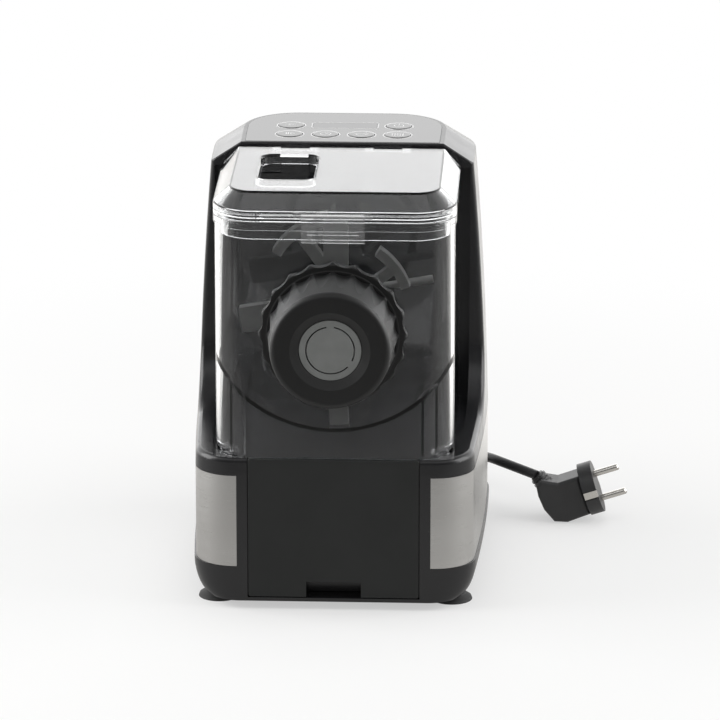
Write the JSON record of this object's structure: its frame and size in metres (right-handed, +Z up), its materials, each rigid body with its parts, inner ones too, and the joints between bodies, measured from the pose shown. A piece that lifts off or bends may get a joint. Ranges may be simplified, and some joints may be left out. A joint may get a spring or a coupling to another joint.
{
  "type": "electric pasta maker",
  "caption": "Countertop electric pasta maker: black body with steel sides, clear kneading chamber with hinged lid, screw-on die nut, control panel and front drawer.",
  "frame": {"origin": "middle of the footprint of the machine without its cord, at the height of the table", "axes": "+Z up, -Y towards the front with the die, +X to the right seen from the front"},
  "size_m": [0.3072, 0.3966, 0.2997],
  "materials": {
    "black_plastic": "satin moulded",
    "gloss_black": "gloss",
    "smoked_window": "gloss, lightly smoked",
    "side_steel": "brushed",
    "clear_plastic": "clear moulded plastic",
    "milky_plastic": "milky translucent",
    "grey_plastic": "satin",
    "die_grey": "satin",
    "grained_black": "fine grain",
    "white_plastic": "satin",
    "steel_part": "turned",
    "bronze": "sintered",
    "motor_metal": "zinc plated",
    "dark_parts": "matte",
    "circuit_board": "solder mask",
    "black_rubber": "matte",
    "cord_black": "satin PVC",
    "nickel": "nickel plated"
  },
  "bodies": {
    "machine": {"base_skirt": "black_plastic", "rubber_feet": "black_rubber", "body_frame": "black_plastic", "left_side_panel": "side_steel", "right_side_panel": "side_steel", "rear_cover": "black_plastic", "head_cover": "black_plastic", "control_panel": "gloss_black", "display_window": "smoked_window", "control_board": "circuit_board", "tact_switches": "dark_parts", "display_module": "dark_parts", "power_board": "circuit_board", "mixing_chamber": "clear_plastic", "extrusion_barrel": "grey_plastic", "shaft_seal": "black_rubber", "shaft_bushings": "bronze", "idler_axle": "steel_part", "gearbox_case": "dark_parts", "gearbox_cover": "dark_parts", "motor_can": "motor_metal", "motor_stator": "motor_metal", "case_screws": "steel_part", "cord_grip": "cord_black", "cord_to_coil": "cord_black", "cord_coil": "cord_black", "cord_to_plug": "cord_black", "plug_body": "cord_black", "plug_pins": "nickel", "earth_clips": "nickel"},
    "drawer": {"drawer_front": "black_plastic", "drawer_tray": "black_plastic"},
    "lid": {"lid": "clear_plastic", "lid_hinge_pins": "steel_part", "latch_pin": "steel_part"},
    "latch": {"lid_latch": "clear_plastic"},
    "die": {"shaping_die": "die_grey"},
    "nut": {"die_nut": "grained_black"},
    "paddle": {"kneading_paddle": "milky_plastic", "extruder_screw": "white_plastic", "output_shaft": "steel_part", "output_gear": "white_plastic"},
    "idler": {"idler_gear": "white_plastic"},
    "rotor": {"motor_rotor": "steel_part", "motor_pinion": "bronze", "cooling_fan": "dark_parts"},
    "button_1": {"button_1": "gloss_black"},
    "button_2": {"button_2": "gloss_black"},
    "button_3": {"button_3": "gloss_black"},
    "button_4": {"button_4": "gloss_black"},
    "button_5": {"button_5": "gloss_black"},
    "button_6": {"button_6": "gloss_black"}
  },
  "joints": [
    {"name": "drawer_slide", "type": "slide", "parent": "machine", "child": "drawer", "axis": [0, -1, 0], "range_m": [0, 0.1]},
    {"name": "lid_hinge", "type": "hinge", "parent": "machine", "child": "lid", "pos_m": [0, 0.0263, 0.2932], "axis": [-1, 0, 0], "range_deg": [0, 97]},
    {"name": "latch_hinge", "type": "hinge", "parent": "lid", "child": "latch", "pos_m": [0, -0.1051, 0.2832], "axis": [-1, 0, 0], "range_deg": [0, 30]},
    {"name": "die_slide", "type": "slide", "parent": "machine", "child": "die", "axis": [0, -1, 0], "range_m": [0, 0.008]},
    {"name": "nut_turn", "type": "hinge", "parent": "die", "child": "nut", "pos_m": [0, 0, 0.2005], "axis": [0, -1, 0], "range_deg": [0, 720]},
    {"name": "paddle_spin", "type": "hinge", "parent": "machine", "child": "paddle", "pos_m": [0, 0, 0.2005], "axis": [0, 1, 0], "continuous": true},
    {"name": "idler_spin", "type": "hinge", "parent": "machine", "child": "idler", "pos_m": [0.01366, 0, 0.14981], "axis": [0, 1, 0], "continuous": true},
    {"name": "rotor_spin", "type": "hinge", "parent": "machine", "child": "rotor", "pos_m": [0, 0, 0.1165], "axis": [0, 1, 0], "continuous": true},
    {"name": "button_1_press", "type": "slide", "parent": "machine", "child": "button_1", "axis": [0, 0, -1], "range_m": [0, 0.0008], "stiffness_N_per_m": 400},
    {"name": "button_2_press", "type": "slide", "parent": "machine", "child": "button_2", "axis": [0, 0, -1], "range_m": [0, 0.0008], "stiffness_N_per_m": 400},
    {"name": "button_3_press", "type": "slide", "parent": "machine", "child": "button_3", "axis": [0, 0, -1], "range_m": [0, 0.0008], "stiffness_N_per_m": 400},
    {"name": "button_4_press", "type": "slide", "parent": "machine", "child": "button_4", "axis": [0, 0, -1], "range_m": [0, 0.0008], "stiffness_N_per_m": 400},
    {"name": "button_5_press", "type": "slide", "parent": "machine", "child": "button_5", "axis": [0, 0, -1], "range_m": [0, 0.0008], "stiffness_N_per_m": 400},
    {"name": "button_6_press", "type": "slide", "parent": "machine", "child": "button_6", "axis": [0, 0, -1], "range_m": [0, 0.0008], "stiffness_N_per_m": 400}
  ],
  "couplings": [
    {"joint": "die_slide", "follows": "nut_turn", "m_per_rad": 0.00063662},
    {"joint": "idler_spin", "follows": "paddle_spin", "ratio": -6},
    {"joint": "rotor_spin", "follows": "paddle_spin", "ratio": 30}
  ]
}
